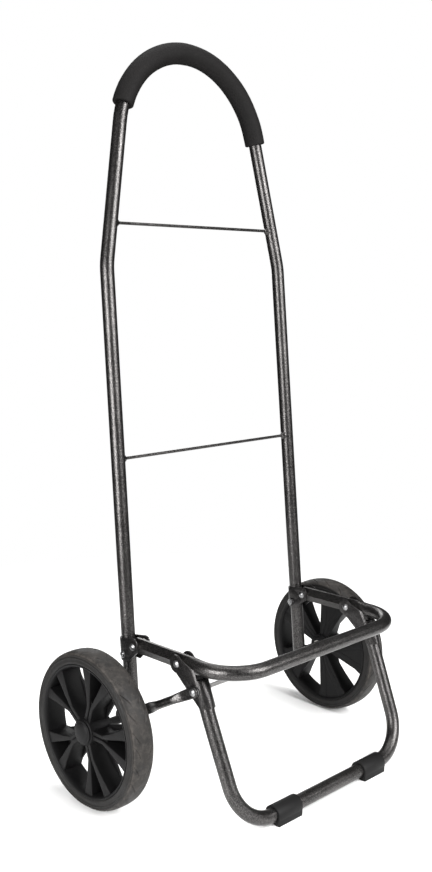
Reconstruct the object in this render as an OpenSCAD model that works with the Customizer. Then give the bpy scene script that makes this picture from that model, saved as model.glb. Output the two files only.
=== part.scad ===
// Folding two-wheeled luggage trolley frame.
// Millimetres, +Z up, +Y to the rear, +X to the right. Floor at z = 0, origin under the middle.

/* [Overall] */
// wheel radius, which also sets the axle height
wheel_r = 100; // [90:1:125]
// height of the bend in the uprights above the axle
kink_rise = 577; // [450:1:700]
// radius of the handle arch to the tube centre
arch_r = 125; // [100:1:150]
// half the spacing of the uprights at the axle
foot_half = 162.5; // [150:0.5:190]
// half the spacing of the uprights at the bend
kink_half = 158.3; // [146:0.1:186]
// backward lean of the uprights in degrees
lean = 4.33; // [2:0.01:7]
// inward slope of the uprights above the bend in degrees
taper = 11.1; // [9:0.1:14]

/* [Tube] */
// outer diameter of the frame tube
tube_d = 18; // [15:0.5:20]
// wall of the frame tube
tube_wall = 1.2; // [0.8:0.1:1.6]
// diameter of the cross rods
rod_d = 4; // [3:0.5:6]
// height of the lower cross rod above the axle, along the upright
lower_rod = 331; // [280:1:400]
// height of the upper cross rod above the axle, along the upright
upper_rod = 630; // [600:1:700]
// outer diameter of the foam grip
grip_d = 28; // [24:1:32]

/* [Platform] */
// height of the platform tube centre above the floor
platform_z = 195; // [185:1:225]
// distance of the front tube centre in front of the axle
platform_reach = 184.8; // [165:0.1:225]
// bend radius of the loops at the tube centre
loop_bend = 54; // [40:1:60]
// platform hinge distance in front of the axle
hinge_y = 13; // [12.6:0.1:16]

/* [Leg] */
// leg hinge distance in front of the axle
leg_hinge_y = 96; // [88:0.5:104]
// strut rivet distance in front of the axle
strut_y = 129.5; // [120:0.5:150]
// strut rivet height above the floor
strut_z = 169; // [158:0.5:176]
// bottom tube centre distance in front of the axle
leg_reach = 192.4; // [170:0.1:240]
// inward slope of the leg tubes below their brackets in degrees
leg_taper = 2; // [0.5:0.1:3]
// thickness of the foot sole under the bottom tube
sole_t = 2.6; // [2.5:0.1:6]
// length of each foot
foot_len = 42; // [30:1:60]
// distance of each foot's middle from the centre line
foot_x = 83.5; // [60:0.5:90]

/* [Wheels] */
// wheel centre distance from the centre line
wheel_x = 225.9; // [220:0.1:255]
// tyre width
tyre_w = 33; // [26:1:40]
// inner radius of the rim ring
rim_in = 80; // [70:1:82]
// diameter of the axle
axle_d = 6; // [5:0.5:7]
// diameter of the round hub cap
cap_d = 31; // [26:1:33]

/* [Hidden] */
$fn = 48;
tube_r = tube_d / 2;
bore_r = tube_r - tube_wall;
rod_r = rod_d / 2;
grip_r = grip_d / 2;
axle_r = axle_d / 2;
run = 0.05;
sheet_t = 1.8;
sheet_gap = 0.2;
sheet_in = tube_r + sheet_gap;
sheet_out = sheet_in + sheet_t;
rivet_r = 3;
rivet_head_r = 4.8;
rivet_head_h = 2.4;
washer_r = 6.6;
bend_r = 90;
lap = 1;
ease = 0.02;
tail = 14;
foot_depth = 24.2;
bar_w = 0.8 * tube_d;
bar_h = bar_w + 1.5708 * (tube_d - bar_w);
washer_t = sheet_in - bar_w / 2 - 0.6;
bottom_z = sole_t + tube_r;
y_shift = (leg_reach + foot_depth / 2 - wheel_r) / 2;

flare = atan2(foot_half - kink_half, kink_rise);
turn = taper - flare;
tangent = bend_r * tan(turn / 2);
bend_start = [kink_half + sin(flare) * tangent, kink_rise - cos(flare) * tangent];
bend_end = [kink_half - sin(taper) * tangent, kink_rise + cos(taper) * tangent];
bend_mid = [bend_start.x - bend_r * cos(flare), bend_start.y - bend_r * sin(flare)];
arch_s = kink_rise + (kink_half - arch_r * cos(taper)) / tan(taper) - arch_r * sin(taper);
arch_end = [arch_r * cos(taper), arch_s + arch_r * sin(taper)];
hinge_rise = (platform_z - wheel_r) / cos(lean);
side_x = foot_half - hinge_rise * tan(flare);
hinge_p = [-hinge_y, platform_z];
leg_p = [-leg_hinge_y, platform_z - 0.5];
strut_p = [-strut_y, strut_z];
axle_p = [0, wheel_r];
leg_tilt = atan2(leg_reach - strut_y, strut_z - bottom_z);
leg_len = norm([leg_reach - strut_y, strut_z - bottom_z]);
leg_top = 9.5;
bolt_rise = (platform_z - 14 - wheel_r) / cos(lean);
leg_kink = -33;
leg_kink_r = 300;
bar_end = platform_reach - loop_bend;
flat_end = bar_end - 20;
strut_len = norm(strut_p - axle_p);
strut_dir = atan2(strut_p.y - axle_p.y, strut_p.x - axle_p.x);
strut_x = side_x + sheet_out + 1.2;
strut_t = 3;
strut_tube_r = 5.4;
strut_end_r = 8;
strut_top_r = 6.8;
strut_flat = 56;
strut_round = 84;
slot_r = axle_r + 0.6;
slot_len = 10.4;
slot_dir = 204.5;
slot_off = 0.15;
grip_left = 157.5;
grip_tail = 8;
cap_r = cap_d / 2;
rim_out = rim_in + 4.5;
half_w = tyre_w / 2;
hub_r = 17;
hub_in = 20;
bush_r = 6;
nut_room = 6;

// ---- placing ----

module placed() {
    translate([0, y_shift, 0]) children();
}

module both_sides() {
    children();
    mirror([1, 0, 0]) children();
}

// drawing plane of the uprights: x across, y up along the lean from the axle
module upright_plane() {
    translate([0, 0, wheel_r]) rotate([90 - lean, 0, 0]) children();
}

// drawing plane seen from the right side: x to the rear, y up, extruded to the right
module side_view(x) {
    translate([x, 0, 0]) rotate([90, 0, 90]) children();
}

// drawing plane of the leg loop: x across, y up along the leg from the strut rivet
module leg_plane() {
    translate([0, -strut_y, strut_z]) rotate([90 - leg_tilt, 0, 0]) children();
}

// a right-hand round bar along X from x1 to x2 at side point p
module bar_x(x1, x2, p, r) {
    side_view(x1) translate([p.x, p.y, 0]) cylinder(h = x2 - x1, r = r);
}

// straight tube from p to q, run on by over_p and over_q into the bends it meets
module seg(p, q, r, over_p = 0, over_q = 0) {
    translate([p.x, p.y, 0])
        rotate([0, 0, atan2(q.y - p.y, q.x - p.x)])
        translate([-over_p, 0, 0])
        rotate([0, 90, 0])
        cylinder(h = norm(q - p) + over_p + over_q, r = r);
}

module arc(c, radius, from, sweep, r) {
    translate([c.x, c.y, 0])
        rotate([0, 0, from])
        rotate_extrude(angle = sweep)
        translate([radius, 0])
        circle(r - ease);
}

module dome(r, h) {
    ball = (r * r + h * h) / (2 * h);
    intersection() {
        translate([0, 0, h - ball]) sphere(ball);
        cylinder(h = h + 1, r = r + 1);
    }
}

// shank from x1 to x2 with a round head outside each end
module rivet(x1, x2, p, r, head_r, head_h) {
    bar_x(x1, x2, p, r);
    side_view(x2) translate([p.x, p.y, 0]) dome(head_r, head_h);
    side_view(x1) translate([p.x, p.y, 0]) mirror([0, 0, 1]) dome(head_r, head_h);
}

module ring_x(x1, x2, p, r, hole) {
    side_view(x1) translate([p.x, p.y, 0]) difference() {
        cylinder(h = x2 - x1, r = r);
        translate([0, 0, -1]) cylinder(h = x2 - x1 + 2, r = hole);
    }
}

// ---- upright frame ----

function upright_x(rise) = foot_half - rise * tan(flare);

module upright_half(r, tail_len) {
    low = [upright_x(-tail_len), -tail_len];
    seg(low, bend_start, r, 0, lap);
    arc(bend_mid, bend_r, flare, turn, r);
    seg(bend_end, arch_end, r, lap, lap);
}

module upright_path(r, tail_len) {
    upright_half(r, tail_len);
    mirror([1, 0, 0]) upright_half(r, tail_len);
    arc([0, arch_s], arch_r, taper, 180 - 2 * taper, r);
}

module hole_x(rise, r) {
    translate([-foot_half - 30, rise, 0]) rotate([0, 90, 0]) cylinder(h = 2 * foot_half + 60, r = r);
}

module main_tube() {
    color([0.17, 0.17, 0.18]) placed() upright_plane() difference() {
        upright_path(tube_r, tail);
        upright_path(bore_r, tail + 1);
        hole_x(0, axle_r + run);
        hole_x(bolt_rise, 2.6);
    }
}

module foam_grip() {
    color([0.06, 0.06, 0.06]) placed() upright_plane() difference() {
        union() {
            arc([0, arch_s], arch_r, taper, grip_left - taper, grip_r);
            seg(arch_end, arch_end + grip_tail * [sin(taper), -cos(taper)], grip_r, lap, 0);
        }
        arc([0, arch_s], arch_r, taper, 180 - 2 * taper, tube_r);
        seg(arch_end, arch_end + (grip_tail + 2) * [sin(taper), -cos(taper)], tube_r, lap, 0);
    }
}

module cross_rod(rise, half) {
    upright_plane() difference() {
        union() {
            seg([-half, rise], [half, rise], rod_r);
            for (side = [-1, 1])
                translate([side * half, rise, 0])
                    rotate([0, -side * 90, 0])
                    cylinder(h = tube_r + 3.5, r1 = 6.6, r2 = rod_r);
        }
        seg([-upright_x(0), 0], [-kink_half, kink_rise], tube_r);
        seg([upright_x(0), 0], [kink_half, kink_rise], tube_r);
        seg([-kink_half, kink_rise], [-arch_end.x, arch_end.y], tube_r);
        seg([kink_half, kink_rise], arch_end, tube_r);
    }
}

module upper_cross_rod() {
    above = kink_half - (upper_rod - kink_rise) * tan(taper);
    half = upper_rod > kink_rise ? above : upright_x(upper_rod);
    color([0.17, 0.17, 0.18]) placed() cross_rod(upper_rod, half);
}

module lower_cross_rod() {
    color([0.17, 0.17, 0.18]) placed() cross_rod(lower_rod, upright_x(lower_rod));
}

// ---- hinge brackets ----

module hinge_outline() {
    translate(hinge_p) polygon([
        [40, 5], [25.5, 6.6], [-2, 11.2], [-7, 9.8], [-9, 7], [-9.2, -6],
        [0, -13.4], [9, -22], [40, -22]
    ]);
}

// sheet wrapped round the back of the upright, with an ear down each side
module hinge_wrap() {
    translate([0, 0, wheel_r]) rotate([-lean, 0, 0]) translate([side_x, 0, 40]) difference() {
        union() {
            cylinder(h = 90, r = sheet_out);
            translate([-sheet_out, -60, 0]) cube([2 * sheet_out, 60, 90]);
        }
        translate([0, 0, -1]) cylinder(h = 92, r = sheet_in);
        translate([-sheet_in, -61, -1]) cube([2 * sheet_in, 61, 92]);
    }
}

module hinge_bracket() {
    bolt_p = [bolt_rise * sin(lean), wheel_r + bolt_rise * cos(lean)];
    difference() {
        intersection() {
            hinge_wrap();
            side_view(side_x - 20) linear_extrude(height = 40) hinge_outline();
        }
        bar_x(side_x - 20, side_x + 20, hinge_p, rivet_r + run);
        bar_x(side_x - 20, side_x + 20, bolt_p, 2.6);
    }
}

module right_hinge_bracket() {
    color([0.14, 0.14, 0.15]) placed() hinge_bracket();
}

module left_hinge_bracket() {
    color([0.14, 0.14, 0.15]) placed() mirror([1, 0, 0]) hinge_bracket();
}

module hinge_bracket_bolts() {
    p = [bolt_rise * sin(lean), wheel_r + bolt_rise * cos(lean)];
    color([0.72, 0.72, 0.74]) placed() both_sides() union() {
        bar_x(side_x - sheet_out - 5, side_x + sheet_out, p, 2.5);
        side_view(side_x + sheet_out) translate([p.x, p.y, 0]) dome(4.6, 2.8);
    }
}

module hinge_bracket_nuts() {
    p = [bolt_rise * sin(lean), wheel_r + bolt_rise * cos(lean)];
    color([0.72, 0.72, 0.74]) placed() both_sides()
        side_view(side_x - sheet_out - 4) translate([p.x, p.y, 0]) difference() {
            cylinder(h = 4, r = 4.6, $fn = 6);
            translate([0, 0, -1]) cylinder(h = 6, r = 2.55);
        }
}

module platform_pivot_rivets() {
    color([0.75, 0.75, 0.77]) placed() both_sides()
        rivet(side_x - sheet_out, side_x + sheet_out, hinge_p, rivet_r, rivet_head_r, rivet_head_h);
}

module pivot_washers(p) {
    ring_x(side_x + sheet_in - washer_t, side_x + sheet_in, p, washer_r, rivet_r + run);
    ring_x(side_x - sheet_in, side_x - sheet_in + washer_t, p, washer_r, rivet_r + run);
}

module platform_pivot_washers() {
    color([0.8, 0.8, 0.8]) placed() both_sides() pivot_washers(hinge_p);
}

module upright_plugs() {
    low = upright_x(-tail);
    color([0.05, 0.05, 0.05]) placed() both_sides() upright_plane()
        translate([low, -tail, 0]) rotate([-90, 0, 0]) rotate([0, -flare, 0]) {
            translate([0, 0, -2]) cylinder(h = 2, r = tube_r);
            cylinder(h = 8, r = bore_r - 0.1);
        }
}

// ---- axle ----

module axle() {
    reach = wheel_x + half_w - 1.5;
    color([0.4, 0.4, 0.41]) placed() bar_x(-reach, reach, axle_p, axle_r);
}

module axle_washers() {
    color([0.72, 0.72, 0.74]) placed() both_sides() {
        ring_x(foot_half + tube_r, strut_x - 0.4, axle_p, 7, axle_r + run);
        ring_x(strut_x + strut_t + 0.4, strut_x + strut_t + 1.6, axle_p, 8.5, axle_r + run);
    }
}

module axle_spacers() {
    color([0.1, 0.1, 0.1]) placed() both_sides()
        ring_x(strut_x + strut_t + 1.6, wheel_x - hub_in - 2, axle_p, 5.5, axle_r + run);
}

module axle_push_nuts() {
    color([0.72, 0.72, 0.74]) placed() both_sides() {
        x1 = wheel_x + half_w - nut_room + 0.8;
        ring_x(x1, x1 + 1.2, axle_p, 7, axle_r + run);
    }
}

// ---- platform ----

module flat_section(grow) {
    w = bar_w + 2 * grow;
    h = bar_h + 2 * grow;
    square([w, h - w], center = true);
    for (end = [-1, 1]) translate([0, end * (h - w) / 2]) circle(w / 2);
}

// drawing frame of the right-hand bar: x across, y up, z forward from the axle
module bar_frame() {
    translate([side_x, 0, platform_z]) rotate([90, 0, 0]) children();
}

// flattened bar whose height falls away at its front, where the round tube takes over
module flat_bar_solid(rear) {
    start = hinge_y - rear;
    finish = bar_end - 2;
    fall = (bar_h / 2 - 6.5) / (finish - flat_end);
    high = bar_h / 2 + fall * (flat_end - start);
    intersection() {
        translate([0, 0, start]) linear_extrude(height = finish - start) flat_section(0);
        translate([-20, 0, 0]) rotate([0, 90, 0]) linear_extrude(height = 40)
            polygon([[-start, -high], [-start, high], [-finish, 6.5], [-finish, -6.5]]);
    }
}

// round tube whose width closes in at its rear, where it meets the flattened bar
module round_bar_solid() {
    finish = bar_end + lap;
    narrow = bar_w / 2 - 0.05;
    wide = narrow + (tube_r + 0.05 - narrow) * (finish - flat_end) / (bar_end - 2 - flat_end);
    intersection() {
        translate([0, 0, flat_end]) cylinder(h = finish - flat_end, r = tube_r);
        translate([0, 20, 0]) rotate([90, 0, 0]) linear_extrude(height = 40) polygon([
            [-narrow, flat_end - 1], [narrow, flat_end - 1], [wide, finish + 1], [-wide, finish + 1]
        ]);
    }
}

module bar_solid(rear) {
    bar_frame() {
        flat_bar_solid(rear);
        round_bar_solid();
    }
}

module bar_hollow(rear) {
    start = hinge_y - rear;
    bar_frame() {
        translate([0, 0, start]) linear_extrude(height = flat_end + 3 - start)
            flat_section(-tube_wall);
        translate([0, 0, flat_end + 2]) cylinder(h = bar_end - flat_end - 3, r = bar_w / 2 - 0.8);
        translate([0, 0, bar_end - 2]) cylinder(h = 2.6, r = bore_r);
    }
}

module platform_bends(r) {
    corner = side_x - loop_bend;
    both_sides()
        translate([corner, -bar_end, platform_z]) rotate([0, 0, -90])
        rotate_extrude(angle = 90) translate([loop_bend, 0]) circle(r - ease);
    translate([-corner - lap, -platform_reach, platform_z]) rotate([0, 90, 0])
        cylinder(h = 2 * corner + 2 * lap, r = r);
}

module platform_loop() {
    color([0.17, 0.17, 0.18]) placed() difference() {
        union() {
            both_sides() bar_solid(20);
            platform_bends(tube_r - 0.04);
        }
        both_sides() bar_hollow(21);
        platform_bends(bore_r - 0.06);
        difference() {
            translate([-side_x - 20, -hinge_y, platform_z - 20]) cube([2 * side_x + 40, 30, 40]);
            bar_x(-side_x - 30, side_x + 30, hinge_p, bar_h / 2 + 0.4);
        }
        bar_x(-side_x - 20, side_x + 20, hinge_p, rivet_r + run);
        bar_x(-side_x - 20, side_x + 20, leg_p, rivet_r + run);
    }
}

// ---- leg ----

// straight in the bracket, then a slight bend inwards down to the round corner
module leg_half(r, top) {
    slack = leg_kink_r * tan(leg_taper / 2);
    corner_y = -leg_len + loop_bend;
    low_y = corner_y - loop_bend * sin(leg_taper);
    low = [side_x - (leg_kink - low_y) * tan(leg_taper), low_y];
    high = [side_x - slack * sin(leg_taper), leg_kink - slack * cos(leg_taper)];
    seg([side_x, leg_kink + slack], [side_x, top], r, lap, 0);
    arc([side_x - leg_kink_r, leg_kink + slack], leg_kink_r, -leg_taper, leg_taper, r);
    seg(low, high, r, lap, lap);
    arc([low.x - loop_bend * cos(leg_taper), corner_y], loop_bend, -90, 90 - leg_taper, r);
}

module leg_path(r, top) {
    leg_half(r, top);
    mirror([1, 0, 0]) leg_half(r, top);
    low_y = -leg_len + loop_bend - loop_bend * sin(leg_taper);
    corner = side_x - (leg_kink - low_y) * tan(leg_taper) - loop_bend * cos(leg_taper);
    seg([-corner, -leg_len], [corner, -leg_len], r, lap, lap);
}

module leg_loop() {
    color([0.17, 0.17, 0.18]) placed() difference() {
        leg_plane() difference() {
            leg_path(tube_r, leg_top);
            leg_path(bore_r, leg_top + 1);
        }
        bar_x(-side_x - 20, side_x + 20, strut_p, rivet_r + run);
        for (side = [-1, 1])
            translate([side * foot_x, -leg_reach, -1]) cylinder(h = bottom_z, r = 2.1);
    }
}

module leg_outline() {
    translate(leg_p) circle(11.2);
    translate(strut_p) polygon([
        [30.5, 34], [-2, 22.6], [-10.5, 8], [-21, -18.4],
        [-6.5, -18.5], [5.5, -9], [16.5, 0.4], [39.8, 19.4]
    ]);
}

// sheet wrapped round the front of the leg tube, its ears running up beside the bar
module leg_ears() {
    leg_plane() translate([side_x, -40, 0]) rotate([-90, 0, 0]) difference() {
        union() {
            cylinder(h = 110, r = sheet_out);
            translate([-sheet_out, 0, 0]) cube([2 * sheet_out, 60, 110]);
        }
        translate([0, 0, -1]) cylinder(h = 112, r = sheet_in);
        translate([-sheet_in, 0, -1]) cube([2 * sheet_in, 61, 112]);
    }
}

module leg_bracket() {
    web_top = platform_z - bar_h / 2 - 3.2;
    difference() {
        intersection() {
            leg_ears();
            side_view(side_x - 20) linear_extrude(height = 40) leg_outline();
        }
        translate([side_x - sheet_in, -strut_y - 60, web_top]) cube([2 * sheet_in, 120, 60]);
        bar_x(side_x - 20, side_x + 20, leg_p, rivet_r + run);
        bar_x(side_x - 20, side_x + 20, strut_p, rivet_r + run);
    }
}

module right_leg_bracket() {
    color([0.14, 0.14, 0.15]) placed() leg_bracket();
}

module left_leg_bracket() {
    color([0.14, 0.14, 0.15]) placed() mirror([1, 0, 0]) leg_bracket();
}

module leg_pivot_rivets() {
    color([0.75, 0.75, 0.77]) placed() both_sides()
        rivet(side_x - sheet_out, side_x + sheet_out, leg_p, rivet_r, rivet_head_r, rivet_head_h);
}

module leg_pivot_washers() {
    color([0.8, 0.8, 0.8]) placed() both_sides() pivot_washers(leg_p);
}

module strut_rivets() {
    x1 = side_x - sheet_out;
    x2 = strut_x + strut_t + 0.3;
    color([0.75, 0.75, 0.77]) placed() both_sides()
        rivet(x1, x2, strut_p, rivet_r, rivet_head_r, rivet_head_h);
}

module strut_washers() {
    color([0.72, 0.72, 0.74]) placed() both_sides()
        ring_x(side_x + sheet_out, strut_x - 0.3, strut_p, washer_r, rivet_r + run);
}

module leg_plugs() {
    color([0.05, 0.05, 0.05]) placed() both_sides() leg_plane()
        translate([side_x, leg_top, 0]) rotate([-90, 0, 0]) {
            cylinder(h = 1.5, r = tube_r);
            translate([0, 0, -5]) cylinder(h = 5, r = bore_r - 0.1);
        }
}

module foot() {
    screw_r = 2;
    sole_half = foot_depth / 2 - 0.9;
    translate([foot_x, -leg_reach, 0]) difference() {
        union() {
            translate([-foot_len / 2, 0, bottom_z]) rotate([0, 90, 0])
                cylinder(h = foot_len, r = foot_depth / 2);
            translate([-foot_len / 2, -sole_half, 0]) cube([foot_len, 2 * sole_half, bottom_z - 1]);
        }
        translate([-foot_len / 2 - 1, 0, bottom_z]) rotate([0, 90, 0])
            cylinder(h = foot_len + 2, r = tube_r);
        translate([-foot_len, -foot_depth, -5]) cube([2 * foot_len, 2 * foot_depth, 5]);
        translate([0, 0, -1]) cylinder(h = bottom_z, r = screw_r + 0.1);
        translate([0, 0, -1]) cylinder(h = 2.6, r = 4.1);
    }
}

module right_foot() {
    color([0.05, 0.05, 0.05]) placed() foot();
}

module left_foot() {
    color([0.05, 0.05, 0.05]) placed() mirror([1, 0, 0]) foot();
}

module foot_screws() {
    color([0.72, 0.72, 0.74]) placed() both_sides() translate([foot_x, -leg_reach, 0]) {
        translate([0, 0, 0.4]) cylinder(h = 1.2, r = 4);
        translate([0, 0, 1.6]) cylinder(h = 5, r = 2);
    }
}

// ---- struts ----

module strut_outline(slot_mid, slot_tip) {
    wide = strut_end_r - 0.9;
    thin = strut_tube_r - 0.4;
    high = strut_top_r - 0.5;
    polygon([
        [0, -wide], [strut_flat, -wide], [strut_round, -thin],
        [strut_round, thin], [strut_flat, wide], [0, wide]
    ]);
    translate(slot_mid) circle(strut_end_r);
    translate(slot_tip) circle(strut_end_r);
    flat_bar(slot_mid, slot_tip, 2 * strut_end_r - 0.1);
    polygon([
        [strut_len, -high], [strut_len - 20, -high], [strut_len - 38, -thin],
        [strut_len - 38, thin], [strut_len - 20, high], [strut_len, high]
    ]);
    translate([strut_len, 0]) circle(strut_top_r);
}

// flat lower end with a slot for the axle, round middle, flat upper end
module strut_body() {
    rise = strut_tube_r + 0.15;
    top = 2 * strut_tube_r + 1;
    slot_mid = slot_off * [cos(slot_dir - 90), sin(slot_dir - 90)];
    slot_tip = slot_mid + slot_len * [cos(slot_dir), sin(slot_dir)];
    difference() {
        union() {
            linear_extrude(height = strut_t) strut_outline(slot_mid, slot_tip);
            intersection() {
                translate([strut_flat - 4, 0, rise]) rotate([0, 90, 0])
                    cylinder(h = strut_len - strut_flat - 16, r = strut_tube_r);
                translate([0, 20, 0]) rotate([90, 0, 0]) linear_extrude(height = 40) polygon([
                    [strut_flat, -1], [strut_flat, strut_t - 0.5], [strut_round, top], [strut_len - 38, top],
                    [strut_len - 22, strut_t - 0.5], [strut_len - 22, -1]
                ]);
            }
        }
        translate([strut_len, 0, -1]) cylinder(h = strut_t + 2, r = rivet_r + run);
        translate([0, 0, -1]) linear_extrude(height = strut_t + 2) {
            translate(slot_mid) circle(slot_r);
            translate(slot_tip) circle(slot_r);
            flat_bar(slot_mid, slot_tip, 2 * slot_r - 0.06);
        }
    }
}

module strut() {
    side_view(strut_x) translate([axle_p.x, axle_p.y, 0]) rotate([0, 0, strut_dir]) strut_body();
}

module right_strut() {
    color([0.17, 0.17, 0.18]) placed() strut();
}

module left_strut() {
    color([0.17, 0.17, 0.18]) placed() mirror([1, 0, 0]) strut();
}

// ---- wheels ----

// wheel drawn with z outwards, x up and y to the rear, on the left side
module on_left() {
    translate([-wheel_x, 0, wheel_r]) rotate([0, -90, 0]) children();
}

module flat_bar(p, q, w) {
    translate(p) rotate(atan2(q.y - p.y, q.x - p.x)) translate([0, -w / 2]) square([norm(q - p), w]);
}

module spoke_pair() {
    fork = 38;
    spread = 14.2;
    tip_half = 7.6;
    tip = rim_in + 1.5;
    flat_bar([0, 0], [fork, 0], 11);
    for (side = [-1, 1]) {
        slope = atan2(tip * sin(spread) - 2.7, tip * cos(spread) - fork);
        across = [-sin(slope), cos(slope)];
        near = [fork - 3, 2.6];
        far = tip * [cos(spread), sin(spread)];
        mirror([0, side < 0 ? 1 : 0]) polygon([
            near - 2.8 * across, far - tip_half * across, far + tip_half * across, near + 2.8 * across
        ]);
    }
}

// flat web behind each pair, widening from the hub to the rim
module spoke_back() {
    polygon([[14, -6.5], [14, 6.5], [rim_in + 0.6, 25.5], [rim_in + 0.6, -25.5]]);
}

module rim() {
    count = 5;
    face = half_w - 2.5;
    difference() {
        union() {
            translate([0, 0, -half_w + 1.5]) linear_extrude(height = tyre_w - 3) difference() {
                circle(rim_out);
                circle(rim_in);
            }
            translate([0, 0, -face]) linear_extrude(height = 2 * face) intersection() {
                circle(rim_in + 1);
                for (i = [0:count - 1]) rotate(-90 + i * 360 / count) spoke_pair();
            }
            translate([0, 0, -face + 0.5]) linear_extrude(height = 3) intersection() {
                circle(rim_in + 0.5);
                for (i = [0:count - 1]) rotate(-90 + i * 360 / count) spoke_back();
            }
            translate([0, 0, -hub_in]) cylinder(h = hub_in + half_w, r = hub_r);
        }
        for (i = [0:count - 1]) rotate(-90 + i * 360 / count)
            translate([hub_r + 2, -0.9, face - 3]) cube([20, 1.8, 10]);
        translate([0, 0, -hub_in - 1]) cylinder(h = 100, r = bush_r);
        translate([0, 0, half_w - nut_room]) cylinder(h = nut_room + 1, r = 9.5);
    }
}

module tyre() {
    rotate_extrude() polygon([
        [rim_out, -half_w + 1], [rim_out + 1.5, -half_w], [wheel_r - 7, -half_w],
        [wheel_r - 3, -half_w + 1.8], [wheel_r - 0.8, -half_w + 5], [wheel_r, -half_w + 10],
        [wheel_r, half_w - 10], [wheel_r - 0.8, half_w - 5], [wheel_r - 3, half_w - 1.8],
        [wheel_r - 7, half_w], [rim_out + 1.5, half_w], [rim_out, half_w - 1]
    ]);
}

module hub_cap() {
    edge = 1.6;
    rise = 4.2;
    ball = (cap_r * cap_r + rise * rise) / (2 * rise);
    translate([0, 0, half_w]) difference() {
        intersection() {
            cylinder(h = edge + rise + 1, r = cap_r);
            translate([0, 0, edge + rise - ball]) sphere(ball);
        }
        translate([0, 0, -1]) cylinder(h = 3, r = 8);
    }
}

module hub_bushes() {
    hole = axle_r + run;
    difference() {
        union() {
            translate([0, 0, half_w - nut_room - 8]) cylinder(h = 8, r = bush_r);
            translate([0, 0, -hub_in]) cylinder(h = 12, r = bush_r);
            translate([0, 0, -hub_in - 1.5]) cylinder(h = 1.5, r = 8.5);
        }
        translate([0, 0, -60]) cylinder(h = 120, r = hole);
    }
}

module left_rim() {
    color([0.07, 0.07, 0.07]) placed() on_left() rim();
}

module left_tyre() {
    color([0.13, 0.12, 0.12]) placed() on_left() tyre();
}

module left_hub_cap() {
    color([0.06, 0.06, 0.06]) placed() on_left() hub_cap();
}

module left_hub_bushes() {
    color([0.85, 0.85, 0.82]) placed() on_left() hub_bushes();
}

module right_rim() {
    color([0.07, 0.07, 0.07]) placed() mirror([1, 0, 0]) on_left() rim();
}

module right_tyre() {
    color([0.13, 0.12, 0.12]) placed() mirror([1, 0, 0]) on_left() tyre();
}

module right_hub_cap() {
    color([0.06, 0.06, 0.06]) placed() mirror([1, 0, 0]) on_left() hub_cap();
}

module right_hub_bushes() {
    color([0.85, 0.85, 0.82]) placed() mirror([1, 0, 0]) on_left() hub_bushes();
}

main_tube();
foam_grip();
upper_cross_rod();
lower_cross_rod();
left_hinge_bracket();
right_hinge_bracket();
hinge_bracket_bolts();
hinge_bracket_nuts();
platform_pivot_rivets();
platform_pivot_washers();
upright_plugs();
axle();
axle_washers();
axle_spacers();
axle_push_nuts();
platform_loop();
leg_loop();
left_leg_bracket();
right_leg_bracket();
leg_pivot_rivets();
leg_pivot_washers();
strut_rivets();
strut_washers();
leg_plugs();
left_foot();
right_foot();
foot_screws();
left_strut();
right_strut();
left_rim();
left_tyre();
left_hub_cap();
left_hub_bushes();
right_rim();
right_tyre();
right_hub_cap();
right_hub_bushes();
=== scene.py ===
import math

import bmesh
import bpy
from mathutils import Matrix, Vector, noise


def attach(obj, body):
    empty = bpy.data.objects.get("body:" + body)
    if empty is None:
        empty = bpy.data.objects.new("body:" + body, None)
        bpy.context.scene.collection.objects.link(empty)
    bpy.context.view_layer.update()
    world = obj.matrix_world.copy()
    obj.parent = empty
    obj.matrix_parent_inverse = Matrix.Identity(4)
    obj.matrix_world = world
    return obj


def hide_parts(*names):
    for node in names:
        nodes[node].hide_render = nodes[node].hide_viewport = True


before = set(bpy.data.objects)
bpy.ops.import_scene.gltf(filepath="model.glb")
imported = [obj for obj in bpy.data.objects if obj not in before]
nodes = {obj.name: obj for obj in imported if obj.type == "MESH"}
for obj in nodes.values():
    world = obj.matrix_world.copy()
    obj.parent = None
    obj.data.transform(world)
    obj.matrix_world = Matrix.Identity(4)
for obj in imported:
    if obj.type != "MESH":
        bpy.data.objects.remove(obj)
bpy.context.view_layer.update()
mm = 0.001
print("frame loaded:", len(nodes), "nodes")


# camera, light and floor

shot = {
    "place": (-0.98095, -0.94914, 0.64070),
    "turn": -44.65,
    "down": 7.2,
    "roll": -0.17,
    "lens": 42.96,
    "shift": (-0.0115, -0.0143),
}

lamps = {
    # name: (place, aimed at, width, height, watts)
    "sideBox": ((-1.5, -0.22, 0.58), (-0.15, 0.0, 0.5), 0.8, 0.88, 36),
    "frontBox": ((0.36, -1.75, 1.3), (0.0, 0.0, 0.75), 1.25, 1.3, 84),
    "topBox": ((0.3, 0.2, 2.6), (0.0, 0.0, 0.2), 2.0, 2.0, 44),
    "rearBox": ((1.4, 2.1, 1.3), (0.0, 0.0, 0.5), 0.9, 1.3, 16),
}

room = {"fill": 0.3, "gloss": 0.03, "backdrop": 1.0, "floorTone": (0.92, 0.92, 0.915), "floorSize": 1.3}


def setCamera():
    data = bpy.data.cameras.new("shotCamera")
    data.lens = shot["lens"]
    data.shift_x, data.shift_y = shot["shift"]
    camera = bpy.data.objects.new("shotCamera", data)
    bpy.context.scene.collection.objects.link(camera)
    turned = Matrix.Rotation(math.radians(shot["turn"]), 4, "Z")
    tipped = Matrix.Rotation(math.radians(90 - shot["down"]), 4, "X")
    rolled = Matrix.Rotation(math.radians(shot["roll"]), 4, "Z")
    camera.matrix_world = Matrix.Translation(shot["place"]) @ turned @ tipped @ rolled
    bpy.context.scene.camera = camera


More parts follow.
